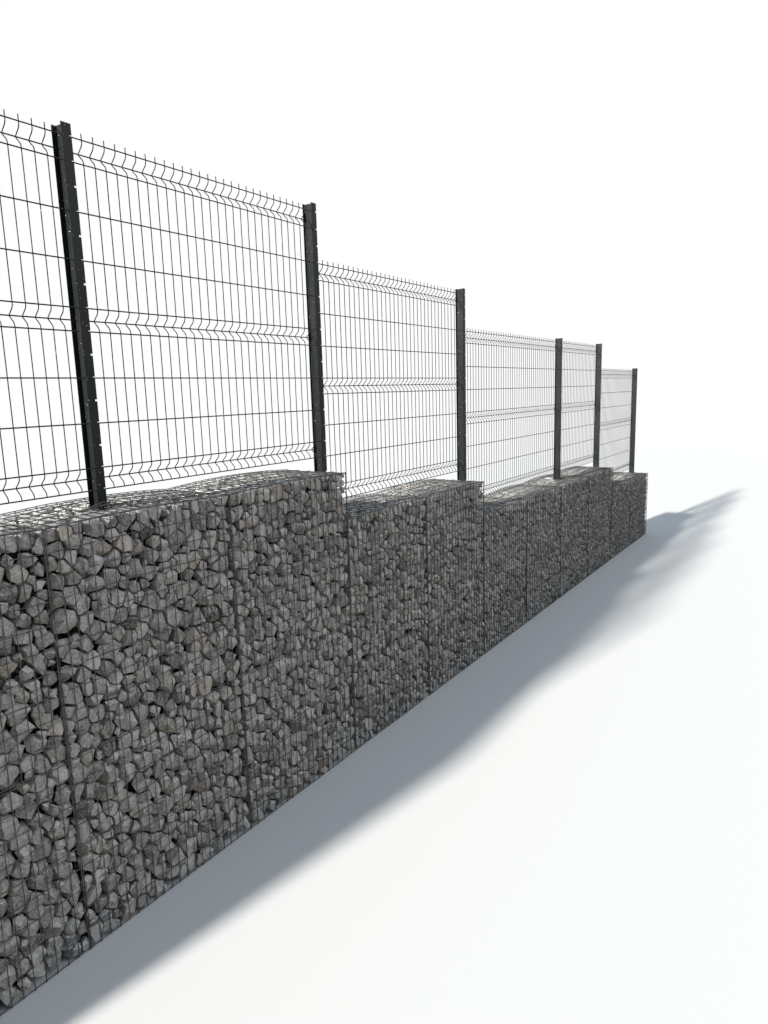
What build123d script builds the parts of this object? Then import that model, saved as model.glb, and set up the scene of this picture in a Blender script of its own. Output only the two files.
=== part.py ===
from build123d import *
import os

# A stepped gabion wall with a rigid mesh fence along its middle, in millimetres.
# X runs along the wall, from its high end to its low end. Y runs into the wall, away from
# the side that is looked at. Z is up. The origin is the middle of the base.

# Wall
bay_length = 2000          # one basket, from end to end
bays_per_step = (2, 1, 2, 1)
wall_depth = 500           # front face to back face
basket_height = 1000       # one basket with its lid
step_drop = 300            # from one lid to the next lower lid
wire = 5                   # thickness of basket wire, and of fence wire
bar_spacing = 250          # the frame wires made here, the fine mesh lies between them

# Posts
post_width = 46            # along the fence, over the flanges
post_depth = 70            # across the fence, over the flanges
post_wall = 2.5            # thickness of flanges and web
post_above_panel = 52      # from the top fence wire to the top of the post
post_clearance = 0.3       # stones packed round a post
lid_hole_margin = 28       # the lid is cut away round a post by this much
end_post_offset = 45       # from a basket's end to the middle of a post beside it
first_middle_post = 410    # from the second basket's left end to its post
second_middle_post = 500   # from the fifth basket's left end to its post

# Fence panels
panel_height = 1500        # from the bottom wire to the top wire
panel_above_lid = 85       # from the lid to the bottom wire
wire_level_pitch = 100     # the levels of the horizontal wires, and of the notches in the posts
notch_height = 8
notch_depth = 10
fold_depth = 35            # how far a fold stands out from the panel
fold_height = 66           # from where a fold starts to where it ends
upright_pitch = 55         # one upright wire to the next
first_upright = 73         # from the middle of the left post to the first upright
last_upright_gap = 45      # least distance from the last upright to the middle of the right post
upright_tip = 28           # uprights stand above the top wire by this much
uprights_skipped = 4       # every fourth upright is made here, the rest is fine wire

# Levels of the wires below the top wire, as counts of wire_level_pitch.
straight_levels = (0, 1, 3, 5, 7, 8, 10, 12, 14, 15)
fold_levels = (0.5, 7.5, 14.5)

step_of_bay = [step for step, bays in enumerate(bays_per_step) for _ in range(bays)]
bay_count = len(step_of_bay)
wall_length = bay_length * bay_count
last_step = len(bays_per_step) - 1


def bay_left(bay):
    """X of a basket's left end."""
    return bay * bay_length - wall_length / 2


def basket_base(bay):
    """Z of the bottom of a basket, which is the top of the course under it."""
    return step_drop * (last_step - step_of_bay[bay])


def lid_level(bay):
    """Z of the top of a basket's lid."""
    return basket_base(bay) + basket_height


# Each post, as the basket it stands in and its distance from that basket's left end.
# Where the wall steps down, the post stands in the lower basket, close to the higher one.
post_places = [
    (0, end_post_offset),
    (1, first_middle_post),
    (2, end_post_offset),
    (3, end_post_offset),
    (4, second_middle_post),
    (5, end_post_offset),
    (5, bay_length - end_post_offset),
]
post_x = [bay_left(bay) + offset for bay, offset in post_places]
panel_bottom = [lid_level(bay) + panel_above_lid for bay, _ in post_places[:-1]]
panel_y = -(post_depth - post_wall) / 2


def post_top(post):
    """Z of a post's top, above the higher of the panels that it holds."""
    held = panel_bottom[max(post - 1, 0):post + 1]
    return max(held) + panel_height + post_above_panel


def frame_of_bars(width, height):
    """Adds a flat frame of bars to the open sketch, edge bars flush with its outline."""
    columns = max(1, round(width / bar_spacing))
    rows = max(1, round(height / bar_spacing))
    with GridLocations((width - wire) / columns, 0, columns + 1, 1):
        Rectangle(wire, height)
    with GridLocations(0, (height - wire) / rows, 1, rows + 1):
        Rectangle(width, wire)


def posts_in(bay):
    """X of each post that stands in a basket."""
    return [x for x, (place, _) in zip(post_x, post_places) if place == bay]


def write(part, name):
    """Labels a finished piece and writes it."""
    part.label = name
    export_step(part, f"parts/{name}.step")


def write_cage(bay, base, height, name):
    """The sides, ends and middle partition of a basket."""
    middle = bay_left(bay) + bay_length / 2
    half_way_up = base + height / 2
    with BuildPart() as cage:
        for front in (-wall_depth / 2 + wire, wall_depth / 2):
            with BuildSketch(Plane((middle, front, half_way_up), x_dir=(1, 0, 0), z_dir=(0, -1, 0))):
                frame_of_bars(bay_length, height)
        extrude(amount=wire)
        for left in (bay_left(bay), middle - wire / 2, bay_left(bay) + bay_length - wire):
            with BuildSketch(Plane((left, 0, half_way_up), x_dir=(0, 1, 0), z_dir=(1, 0, 0))):
                frame_of_bars(wall_depth, height)
        extrude(amount=wire)
    write(cage.part, name)


def write_fill(bay, base, height, posts, name):
    """The stones in the two cells of a basket, with a channel for each post."""
    cell_length = bay_length / 2 - wire * 1.5
    cell_pitch = cell_length + wire
    channel_width = post_width + 2 * post_clearance
    channel_depth = post_depth + 2 * post_clearance
    middle = bay_left(bay) + bay_length / 2
    with BuildPart() as fill:
        with BuildSketch(Plane.XY.offset(base)):
            with Locations((middle, 0)):
                with GridLocations(cell_pitch, 0, 2, 1):
                    Rectangle(cell_length, wall_depth - 2 * wire)
            for x in posts:
                with Locations((x, 0)):
                    Rectangle(channel_width, channel_depth, mode=Mode.SUBTRACT)
        extrude(amount=height)
    write(fill.part, name)


def write_lid(bay, name):
    """The lid of a basket, cut away round each post."""
    hole_width = post_width + 2 * lid_hole_margin
    hole_depth = post_depth + 2 * lid_hole_margin
    middle = bay_left(bay) + bay_length / 2
    with BuildPart() as lid:
        with BuildSketch(Plane((middle, 0, lid_level(bay) - wire))):
            frame_of_bars(bay_length, wall_depth)
            for x in posts_in(bay):
                with Locations((x - middle, 0)):
                    Rectangle(hole_width, hole_depth, mode=Mode.SUBTRACT)
        extrude(amount=wire)
    write(lid.part, name)


def write_post(post, name):
    """A post with an H section, notched along both edges of its front flange."""
    base = basket_base(post_places[post][0])
    top = post_top(post)
    notch_count = round((panel_height + step_drop) / wire_level_pitch) + 1
    lowest_notch = top - post_above_panel - (notch_count - 1) * wire_level_pitch
    notch_middle = (lowest_notch + top - post_above_panel) / 2 + (notch_height - wire) / 2
    with BuildPart() as body:
        with BuildSketch(Plane.XY.offset(base)):
            with Locations((post_x[post], 0)):
                Rectangle(post_wall, post_depth)
                with GridLocations(0, post_depth - post_wall, 1, 2):
                    Rectangle(post_width, post_wall)
        extrude(amount=top - base)
        flange_back = (post_x[post], -post_depth / 2 + post_wall, notch_middle)
        with BuildSketch(Plane(flange_back, x_dir=(1, 0, 0), z_dir=(0, -1, 0))):
            with GridLocations(post_width - notch_depth, wire_level_pitch, 2, notch_count):
                Rectangle(notch_depth, notch_height)
        extrude(amount=post_wall, mode=Mode.SUBTRACT)
    write(body.part, name)


def upright_outline():
    """Corners of an upright wire seen from the fence's end, as distance back and height."""
    line = [(0, panel_height + upright_tip)]
    for level in fold_levels:
        apex = panel_height - level * wire_level_pitch
        line += [(0, apex + fold_height / 2), (fold_depth, apex), (0, apex - fold_height / 2)]
    line += [(0, -wire / 2)]
    front = [(back - wire / 2, height) for back, height in line]
    rear = [(back + wire / 2, height) for back, height in reversed(line)]
    return front + rear


def write_panel(panel, name):
    """A fence panel between two posts, its wires ending in the posts' notches."""
    left, right = post_x[panel], post_x[panel + 1]
    reach = post_width / 2 - notch_depth + post_clearance
    bottom = panel_bottom[panel]
    top = bottom + panel_height
    upright_count = int((right - left - first_upright - last_upright_gap) // upright_pitch) + 1
    uprights = [left + first_upright + upright_pitch * n for n in range(upright_count)]
    with BuildPart() as mesh:
        with BuildSketch(Plane((left + reach, panel_y, top), x_dir=(0, 1, 0), z_dir=(1, 0, 0))):
            with Locations([(0, -level * wire_level_pitch) for level in straight_levels]):
                Rectangle(wire, wire)
            with Locations([(fold_depth, -level * wire_level_pitch) for level in fold_levels]):
                Rectangle(wire, wire)
        extrude(amount=right - left - 2 * reach)
        for x in uprights[::uprights_skipped]:
            with BuildSketch(Plane((x - wire / 2, panel_y, bottom), x_dir=(0, 1, 0), z_dir=(1, 0, 0))):
                with BuildLine():
                    Polyline(*upright_outline(), close=True)
                make_face()
        extrude(amount=wire)
    write(mesh.part, name)


os.makedirs("parts", exist_ok=True)

for bay in range(bay_count):
    number = bay + 1
    side_height = basket_height - wire
    write_cage(bay, basket_base(bay), side_height, f"basket_{number}_cage")
    write_fill(bay, basket_base(bay), side_height, posts_in(bay), f"basket_{number}_stones")
    write_lid(bay, f"basket_{number}_lid")
    if basket_base(bay) > 0:
        write_cage(bay, 0, basket_base(bay), f"footing_{number}_cage")
        write_fill(bay, 0, basket_base(bay), [], f"footing_{number}_stones")

for post in range(len(post_places)):
    write_post(post, f"post_{post + 1}")

for panel in range(len(post_places) - 1):
    write_panel(panel, f"fence_panel_{panel + 1}")
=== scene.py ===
"""Looks of a stepped gabion wall with a mesh fence along its top. Lengths are in metres."""

import logging
import math
from collections.abc import Iterable, Iterator
from dataclasses import dataclass, field
from enum import Enum

import bmesh
import bpy
import numpy as np
from mathutils import Matrix, Vector
from mathutils.kdtree import KDTree


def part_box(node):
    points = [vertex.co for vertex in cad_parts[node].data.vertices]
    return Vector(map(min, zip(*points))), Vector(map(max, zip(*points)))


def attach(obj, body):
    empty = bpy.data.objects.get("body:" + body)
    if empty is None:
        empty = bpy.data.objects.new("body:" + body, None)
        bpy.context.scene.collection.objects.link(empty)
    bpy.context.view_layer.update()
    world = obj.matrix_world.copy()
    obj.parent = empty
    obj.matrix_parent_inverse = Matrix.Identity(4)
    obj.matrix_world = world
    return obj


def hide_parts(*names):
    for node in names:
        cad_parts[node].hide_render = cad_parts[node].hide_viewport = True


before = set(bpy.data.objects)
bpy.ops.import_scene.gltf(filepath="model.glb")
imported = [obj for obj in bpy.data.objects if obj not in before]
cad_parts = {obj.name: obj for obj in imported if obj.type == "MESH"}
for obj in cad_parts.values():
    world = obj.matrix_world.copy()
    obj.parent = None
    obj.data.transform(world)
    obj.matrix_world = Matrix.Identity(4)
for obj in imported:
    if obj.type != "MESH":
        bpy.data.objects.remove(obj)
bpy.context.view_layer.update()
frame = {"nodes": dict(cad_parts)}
log = logging.getLogger("wall")

Range = tuple[float, float]
Colour = tuple[float, float, float]
Point = tuple[float, float, float]
Box = tuple[Vector, Vector]

STONE_SEED = 11
WIRE_SEED = 71


class Term:
    """An output socket of a node, which Python's own signs join into sums."""

    def __init__(self, nodes: "Nodes", socket: bpy.types.NodeSocket) -> None:
        """Keeps the socket and the tree that it belongs to."""
        self.nodes = nodes
        self.socket = socket

    def __add__(self, other: "Term | float | Point") -> "Term":
        """This plus another."""
        return self.nodes.sum("ADD", self, other)

    __radd__ = __add__

    def __sub__(self, other: "Term | float | Point") -> "Term":
        """This less another."""
        return self.nodes.sum("SUBTRACT", self, other)

    def __rsub__(self, other: "Term | float | Point") -> "Term":
        """Another less this."""
        return self.nodes.sum("SUBTRACT", other, self)

    def __mul__(self, other: "Term | float | Point") -> "Term":
        """This times another."""
        return self.nodes.sum("MULTIPLY", self, other)

    __rmul__ = __mul__

    def __truediv__(self, other: "Term | float | Point") -> "Term":
        """This divided by another."""
        return self.nodes.sum("DIVIDE", self, other)

    def __lt__(self, other: "Term | float") -> "Term":
        """One where this is less than another, and nought elsewhere."""
        return self.nodes.sum("LESS_THAN", self, other)

    def __abs__(self) -> "Term":
        """This without its sign."""
        return self.nodes.sum("ABSOLUTE", self)

    def sine(self) -> "Term":
        """The sine of this angle."""
        return self.nodes.sum("SINE", self)

    def parts(self) -> list["Term"]:
        """The three numbers of this vector."""
        split = self.nodes.node("ShaderNodeSeparateXYZ", {0: self})
        return [Term(self.nodes, socket) for socket in split.outputs]


class Nodes:
    """Adds nodes to one shader or geometry tree."""

    def __init__(self, tree: bpy.types.NodeTree) -> None:
        """Keeps the tree."""
        self.tree = tree

    @classmethod
    def emptied(cls, owner: bpy.types.Material | bpy.types.World) -> "Nodes":
        """Empties the tree of a material or of the world.

        Args:
            owner: The material or the world.

        Returns:
            Its tree.
        """
        owner.use_nodes = True
        owner.node_tree.nodes.clear()
        return cls(owner.node_tree)

    def node(self, kind: str, sockets: dict | None = None, settings: dict | None = None) -> bpy.types.Node:
        """Adds a node.

        Args:
            kind: The node's type.
            sockets: A value or a Term for each input that is set, by name or number.
            settings: Its own options, set first. A ramp's stops are pairs of place and colour.

        Returns:
            The new node.
        """
        made = self.tree.nodes.new(kind)
        for option, value in (settings or {}).items():
            if option == "stops":
                self.set_stops(made.color_ramp.elements, value)
            else:
                setattr(made, option, value)
        for key, value in (sockets or {}).items():
            if isinstance(value, Term):
                self.tree.links.new(value.socket, made.inputs[key])
            else:
                made.inputs[key].default_value = value
        return made

    @staticmethod
    def set_stops(elements: bpy.types.ColorRampElements, stops: list[tuple[float, Colour]]) -> None:
        """Gives a colour ramp its stops.

        Args:
            elements: The ramp's two elements, to which others are added.
            stops: Place and colour of each stop, in order.
        """
        for number, (place, colour) in enumerate(stops):
            stop = elements[number] if number < 2 else elements.new(place)
            stop.position = place
            stop.color = (*colour, 1)

    def out(self, kind: str, sockets: dict | None = None, settings: dict | None = None,
            output: int | str = 0) -> Term:
        """Adds a node and gives one of its outputs, by name or number."""
        return Term(self, self.node(kind, sockets, settings).outputs[output])

    def sum(self, operation: str, *operands: "Term | float | Point") -> Term:
        """Adds a Math node, or a Vector Math node where an operand is a vector or a colour.

        Args:
            operation: The operation's name.
            operands: Terms, numbers or vectors.

        Returns:
            The result.
        """
        wide = [isinstance(x, tuple) or isinstance(x, Term) and x.socket.type != "VALUE" for x in operands]
        if operation == "MULTIPLY" and any(wide) and not all(wide):
            vector, number = operands if wide[0] else operands[::-1]
            return self.out("ShaderNodeVectorMath", {0: vector, "Scale": number}, {"operation": "SCALE"})
        kind = "ShaderNodeVectorMath" if any(wide) else "ShaderNodeMath"
        return self.out(kind, dict(enumerate(operands)), {"operation": operation})

    def blend(self, factor: Term | float, first: Term | Colour, second: Term | Colour) -> Term:
        """Mixes two colours, the factor being the share of the second."""
        pair = [x if isinstance(x, Term) else (*x, 1) for x in (first, second)]
        return self.out("ShaderNodeMix", {0: factor, 6: pair[0], 7: pair[1]}, {"data_type": "RGBA"}, 2)

    def noise(self, place: Term, size: float, detail: float = 2.0, output: int = 0) -> Term:
        """Soft patches of a size, as numbers around a half: one number, or three for output 1."""
        sockets = {"Vector": place, "Scale": 1 / size, "Detail": detail}
        return self.out("ShaderNodeTexNoise", sockets, output=output)

    def step(self, value: Term, low: float, high: float) -> Term:
        """A smooth rise from nought at low to one at high."""
        sockets = {"Value": value, "From Min": low, "From Max": high}
        return self.out("ShaderNodeMapRange", sockets, {"interpolation_type": "SMOOTHSTEP"})


def added(name: str, data: bpy.types.ID) -> bpy.types.Object:
    """Puts a new object in the scene.

    Args:
        name: Its name.
        data: Its mesh, camera or lamp.

    Returns:
        The object.
    """
    made = bpy.data.objects.new(name, data)
    bpy.context.scene.collection.objects.link(made)
    return made


class Slot(Enum):
    """Names of material slots for the kinds of piece made here."""

    STONE = "stone_fill"
    BASKET_WIRE = "basket_wire"
    PANEL = "panel_coat"


@dataclass(frozen=True)
class Finish:
    """A material made of nodes. Each kind of finish says how it is built."""

    name: str

    def material(self) -> bpy.types.Material:
        """Builds the material, once.

        Returns:
            The material of this name.
        """
        known = bpy.data.materials.get(self.name)
        if known:
            return known
        made = bpy.data.materials.new(self.name)
        nodes = Nodes.emptied(made)
        place = nodes.out("ShaderNodeTexCoord", output="Object")
        shader = nodes.out("ShaderNodeBsdfPrincipled", self.sockets(nodes, place))
        nodes.node("ShaderNodeOutputMaterial", {"Surface": shader})
        return made

    def sockets(self, nodes: Nodes, place: Term) -> dict:
        """Values and links of the shader's sockets."""
        raise NotImplementedError

    def bump(self, nodes: Nodes, height: Term, depth: float) -> Term:
        """A normal for a surface with small heights, depth being the height of one."""
        return nodes.out("ShaderNodeBump", {"Strength": 1.0, "Distance": depth, "Height": height})


@dataclass(frozen=True)
class Limestone(Finish):
    """Crushed limestone, each stone in its own shade, paler on upward facets, where dust lies on it and
    where light from above is painted on.
    """

    name: str = "crushed_limestone"
    shades: tuple[tuple[float, Colour], ...] = (
        (0.00, (0.350, 0.344, 0.332)),
        (0.40, (0.385, 0.378, 0.362)),
        (0.62, (0.350, 0.352, 0.350)),
        (0.84, (0.395, 0.382, 0.355)),
        (0.95, (0.390, 0.358, 0.310)),
        (1.00, (0.350, 0.318, 0.302)),
    )
    # Pale colour for the veins and for upward facets, where it is partly dust and partly painted top
    # light.
    dust: Colour = (0.660, 0.642, 0.600)
    stain: Colour = (0.200, 0.180, 0.150)
    patch_size: float = 0.045
    grain_size: float = 0.009
    speck_size: float = 0.0016
    chip_size: float = 0.024
    chip_bend: float = 0.02
    vein_size: float = 0.027
    vein_bend: float = 0.03
    vein_width: float = 0.02
    darkest: float = 0.38
    tone_share: float = 0.86
    patch_share: float = 0.7
    grain_share: float = 1.6
    speck_share: float = 0.4
    stain_share: float = 0.35
    stain_range: Range = (0.62, 0.78)
    vein_share: float = 0.22
    # Share of the pale colour on upward facets: dust and painted top light.
    dust_share: float = 0.8
    up_facing_range: Range = (0.10, 0.80)
    dust_and_light_range: Range = (0.25, 0.70)
    dust_and_light_tone: float = 0.3
    patch_height: float = 0.5
    grain_height: float = 0.6
    speck_height: float = 0.12
    chip_height: float = 0.8
    relief: float = 0.006
    roughness: float = 0.93
    gloss: float = 0.2

    def sockets(self, nodes: Nodes, place: Term) -> dict:
        """Colour by stone, with patches, veins, grain, and on upward facets dust with painted top light.

        Args:
            nodes: The material's nodes.
            place: Object coordinates.

        Returns:
            The shader's sockets.
        """
        tone, hue = (nodes.out("ShaderNodeAttribute", None, {"attribute_name": name}, "Fac")
                     for name in ("tone", "hue"))
        patch = nodes.noise(place, self.patch_size, detail=3)
        grain = nodes.noise(place, self.grain_size, detail=4)
        speck = nodes.noise(place, self.speck_size, detail=1)
        curl = nodes.noise(place, self.patch_size, output=1) * self.vein_bend
        vein = nodes.noise(place + curl, self.vein_size)
        vein_line = 1 - nodes.step(abs(vein - 0.5), 0.0, self.vein_width)
        shade = nodes.out("ShaderNodeValToRGB", {"Fac": hue}, {"stops": list(self.shades)})
        level = (self.darkest + tone * self.tone_share + (patch - 0.5) * self.patch_share
                 + (grain - 0.5) * self.grain_share + (speck - 0.5) * self.speck_share)
        stained = nodes.step(patch, *self.stain_range)
        colour = nodes.blend(stained * self.stain_share, shade * level, self.stain)
        colour = nodes.blend(vein_line * self.vein_share, colour, self.dust)
        # Upward facets go towards the pale colour: partly dust, partly painted light that makes the tops
        # look sunlit.
        up = nodes.out("ShaderNodeNewGeometry", output="Normal").parts()[2]
        dust_and_light_spread = nodes.step(grain + tone * self.dust_and_light_tone, *self.dust_and_light_range)
        top_light_and_dust = nodes.step(up, *self.up_facing_range) * dust_and_light_spread
        colour = nodes.blend(top_light_and_dust * self.dust_share, colour, self.dust)
        bent = place + nodes.noise(place, self.chip_size, output=1) * self.chip_bend
        cells = {"Vector": bent, "Scale": 1 / self.chip_size}
        chip = nodes.out("ShaderNodeTexVoronoi", cells, output="Distance")
        height = (patch * self.patch_height + grain * self.grain_height
                  + speck * self.speck_height + chip * self.chip_height)
        return {"Base Color": colour, "Roughness": self.roughness, "Specular IOR Level": self.gloss,
                "Normal": self.bump(nodes, height, self.relief)}


@dataclass(frozen=True)
class GalvanisedWire(Finish):
    """Zinc-coated wire gone dull."""

    name: str = "dull_galvanised_wire"
    fresh: Colour = (0.110, 0.113, 0.115)
    dull: Colour = (0.058, 0.060, 0.061)
    chalk: Colour = (0.180, 0.180, 0.170)
    patch_size: float = 0.060
    fleck_size: float = 0.006
    fresh_range: Range = (0.35, 0.65)
    chalk_range: Range = (0.6, 0.72)
    chalk_share: float = 0.5
    roughness: float = 0.48
    patch_roughness: float = 0.18
    chalk_roughness: float = 0.2
    metal: float = 0.45
    metal_hidden: float = 0.3
    relief: float = 0.0006

    def sockets(self, nodes: Nodes, place: Term) -> dict:
        """Dull and fresh stretches, with chalky flecks.

        Args:
            nodes: The material's nodes.
            place: Object coordinates.

        Returns:
            The shader's sockets.
        """
        patch = nodes.noise(place, self.patch_size, detail=3)
        fleck = nodes.noise(place, self.fleck_size, detail=3)
        colour = nodes.blend(nodes.step(patch, *self.fresh_range), self.dull, self.fresh)
        chalky = nodes.step(fleck, *self.chalk_range)
        colour = nodes.blend(chalky * self.chalk_share, colour, self.chalk)
        rough = self.roughness + patch * self.patch_roughness + chalky * self.chalk_roughness
        return {"Base Color": colour, "Roughness": rough,
                "Metallic": self.metal - chalky * self.metal_hidden,
                "Normal": self.bump(nodes, fleck, self.relief)}


@dataclass(frozen=True)
class PowderCoat(Finish):
    """Satin anthracite powder coat with a film of dust and small pale splashes."""

    name: str = "anthracite_powder_coat"
    coat: Colour = (0.010, 0.013, 0.0145)
    dust: Colour = (0.200, 0.185, 0.160)
    splash: Colour = (0.480, 0.470, 0.440)
    film_size: float = 0.120
    splash_size: float = 0.011
    peel_size: float = 0.0025
    film_shape: Point = (1.0, 1.0, 0.35)
    dust_range: Range = (0.35, 0.8)
    dust_share: float = 0.06
    splash_range: Range = (0.70, 0.74)
    splash_share: float = 0.8
    roughness: float = 0.36
    film_roughness: float = 0.16
    splash_roughness: float = 0.4
    relief: float = 0.00008
    gloss: float = 0.14

    def sockets(self, nodes: Nodes, place: Term) -> dict:
        """A dark coat, with a thin film of dust and splashes.

        Args:
            nodes: The material's nodes.
            place: Object coordinates.

        Returns:
            The shader's sockets.
        """
        film = nodes.noise(place * self.film_shape, self.film_size, detail=4)
        spot = nodes.noise(place, self.splash_size)
        fine = nodes.noise(place, self.peel_size, detail=1)
        dusty = nodes.step(film, *self.dust_range) * self.dust_share
        splashed = nodes.step(spot, *self.splash_range) * self.splash_share
        colour = nodes.blend(dusty, self.coat, self.dust)
        colour = nodes.blend(splashed, colour, self.splash)
        rough = self.roughness + film * self.film_roughness + splashed * self.splash_roughness
        return {"Base Color": colour, "Roughness": rough, "Specular IOR Level": self.gloss,
                "Normal": self.bump(nodes, fine, self.relief)}


@dataclass(frozen=True)
class Crown:
    """How the stones lift a lid between the partitions of its basket."""

    front: float = 0.012
    back: float = 0.022
    reach: float = 0.250

    def lift(self, basket: "Basket", corners: np.ndarray) -> np.ndarray:
        """How far stones under a lid stand higher than in a flat basket.

        Args:
            basket: The basket.
            corners: Points of its stones.

        Returns:
            The lift of each point.
        """
        along = (corners[:, 0] - basket.low.x) / basket.panel_length
        across = (corners[:, 1] - basket.low.y) / (basket.high.y - basket.low.y)
        share = np.clip((corners[:, 2] - basket.high.z + self.reach) / self.reach, 0, 1)
        return abs(np.sin(along * math.pi)) * (self.front + (self.back - self.front) * across) * share


@dataclass(frozen=True)
class Face:
    """A side of a basket that shows: a flat rectangle across one axis."""

    axis: int
    sign: int
    low: Vector
    high: Vector

    @property
    def area(self) -> float:
        """Its area, from the two sides that have a length."""
        return math.prod(side for axis, side in enumerate(self.high - self.low) if axis != self.axis)

    @property
    def normal(self) -> np.ndarray:
        """The way it faces."""
        return np.eye(3)[self.axis] * self.sign

    def depth(self, point: np.ndarray) -> float:
        """How far behind this side a point lies."""
        return (self.low[self.axis] - point[self.axis]) * self.sign


@dataclass(frozen=True)
class Basket:
    """The box of one basket or of one footing under it, and what shows of it."""

    name: str
    low: Vector
    high: Vector
    sides: tuple[Face, ...]
    posts: tuple[Box, ...]
    has_lid: bool
    first: bool
    crown: Crown = Crown()
    hollow_from_end: float = 0.2
    hollow_side: float = 0.020
    hollow_depth: float = 0.055

    @property
    def panel_length(self) -> float:
        """Length of its mesh panels, two for each basket."""
        return (self.high.x - self.low.x) / 2

    @property
    def hollows(self) -> list[Box]:
        """The space without stones in front of each post that stands away from its ends.

        Returns:
            Lowest and highest corner of each.
        """
        found = []
        side, deep = self.hollow_side, self.hollow_depth
        for low, high in self.posts:
            if self.has_lid and min(low.x - self.low.x, self.high.x - high.x) > self.hollow_from_end:
                found.append((Vector((low.x - side, low.y - deep, self.high.z - deep)),
                              Vector((high.x + side, low.y, self.high.z))))
        return found

    @property
    def nodes(self) -> dict[str, str]:
        """The names of its CAD nodes, by what they are."""
        kinds = ("cage", "stones", "lid") if self.has_lid else ("cage", "stones")
        return {kind: f"{self.name}_{kind}" for kind in kinds}


@dataclass(frozen=True)
class Wall:
    """The wall's baskets, footings, posts and fence panels, as the frame gives them."""

    nodes: dict[str, bpy.types.Object]
    least_step: float = 0.01

    def count(self, start: str, end: str = "") -> int:
        """How many nodes have a name with this start and end."""
        return sum(name.startswith(start) and name.endswith(end) for name in self.nodes)

    def post_boxes(self) -> list[Box]:
        """Lowest and highest corner of each post."""
        return [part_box(f"post_{n + 1}") for n in range(self.count("post_"))]

    def basket(self, name: str, beyond: float, first: bool) -> Basket:
        """Reads one basket or footing.

        Args:
            name: Start of its nodes' names.
            beyond: Level of the wall's top just past its right end.
            first: Whether its left end is the wall's end.

        Returns:
            The basket with the sides that show.
        """
        low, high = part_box(f"{name}_cage")
        has_lid = f"{name}_lid" in self.nodes
        if has_lid:
            high = Vector((high.x, high.y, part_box(f"{name}_lid")[1].z))
        sides = [Face(1, -1, low, Vector((high.x, low.y, high.z))),
                 Face(1, 1, Vector((low.x, high.y, low.z)), high)]
        if has_lid:
            sides.append(Face(2, 1, Vector((low.x, low.y, high.z)), high))
        if first:
            sides.append(Face(0, -1, low, Vector((low.x, high.y, high.z))))
        if beyond < high.z - self.least_step:
            sides.append(Face(0, 1, Vector((high.x, low.y, max(low.z, beyond))), high))
        posts = [(foot, top) for foot, top in self.post_boxes()
                 if foot.x < high.x and top.x > low.x and foot.z < high.z - self.least_step]
        return Basket(name, low, high, tuple(sides), tuple(posts), has_lid, first)

    def baskets(self) -> list[Basket]:
        """Every basket and footing, from left to right.

        Returns:
            Each basket, followed by the footing under it.
        """
        count = self.count("basket_", "_lid")
        tops = [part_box(f"basket_{n + 1}_lid")[1].z for n in range(count)] + [0.0]
        found = []
        for n in range(count):
            for name in (f"basket_{n + 1}", f"footing_{n + 1}"):
                if f"{name}_cage" in self.nodes:
                    found.append(self.basket(name, tops[n + 1], n == 0))
        return found


@dataclass
class Heap:
    """Corners, faces and the two shades of each face of many stones."""

    corners: list[np.ndarray] = field(default_factory=list)
    faces: list[np.ndarray] = field(default_factory=list)
    tones: list[np.ndarray] = field(default_factory=list)
    hues: list[np.ndarray] = field(default_factory=list)
    total: int = 0

    def add(self, corners: np.ndarray, faces: np.ndarray, tone: float, hue: float) -> None:
        """Adds one stone.

        Args:
            corners: Its corners.
            faces: Its triangles, as numbers of corners.
            tone: How light it is.
            hue: Its place among the shades.
        """
        self.corners.append(corners)
        self.faces.append(faces + self.total)
        self.tones.append(np.full(len(faces), tone))
        self.hues.append(np.full(len(faces), hue))
        self.total += len(corners)

    def mesh(self, name: str) -> bpy.types.Mesh:
        """Makes one mesh of all the stones, with the shades as attributes of its faces.

        Args:
            name: The mesh's name.

        Returns:
            The mesh.
        """
        mesh = bpy.data.meshes.new(name)
        mesh.from_pydata(np.concatenate(self.corners).tolist(), [], np.concatenate(self.faces).tolist())
        for key, values in (("tone", self.tones), ("hue", self.hues)):
            mesh.attributes.new(key, "FLOAT", "FACE").data.foreach_set("value", np.concatenate(values))
        return mesh


class Hull:
    """Convex shapes."""

    FLAT = 1e-5

    @staticmethod
    def triangles(points: np.ndarray) -> np.ndarray:
        """The triangles of the smallest convex shape round some points.

        Args:
            points: The points.

        Returns:
            Triples of the numbers of points, in no fixed sense of turning.
        """
        shape = bmesh.new()
        for point in points:
            shape.verts.new(point)
        shape.verts.index_update()
        bmesh.ops.convex_hull(shape, input=list(shape.verts))
        found = [[corner.index for corner in face.verts] for face in shape.faces]
        shape.free()
        return np.array([face for face in found if len(face) == 3])

    @staticmethod
    def within(normals: np.ndarray, reaches: np.ndarray) -> np.ndarray:
        """The corners of the shape that some planes enclose.

        Args:
            normals: The way each plane faces.
            reaches: Distance of each plane from the middle, all above nought.

        Returns:
            The corners, round the middle.
        """
        threes = Hull.triangles(normals / reaches[:, None])
        threes = threes[abs(np.linalg.det(normals[threes])) > Hull.FLAT]
        return np.linalg.solve(normals[threes], reaches[threes][..., None])[..., 0]

    @staticmethod
    def closed(points: np.ndarray, merge: float) -> tuple[np.ndarray, np.ndarray]:
        """The convex shape round some points, its faces turned outwards.

        Args:
            points: The points.
            merge: Points nearer than about this become one.

        Returns:
            Its corners and its triangles.
        """
        _, kept = np.unique(np.round(points / merge), axis=0, return_index=True)
        points = points[np.sort(kept)]
        threes = Hull.triangles(points)
        used, threes = np.unique(threes, return_inverse=True)
        threes = threes.reshape(-1, 3)
        points = points[used]
        a, b, c = (points[threes[:, n]] for n in range(3))
        inwards = np.einsum("ij,ij->i", np.cross(b - a, c - a), a - points.mean(0)) < 0
        threes[inwards] = threes[inwards][:, ::-1]
        return points, threes


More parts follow.
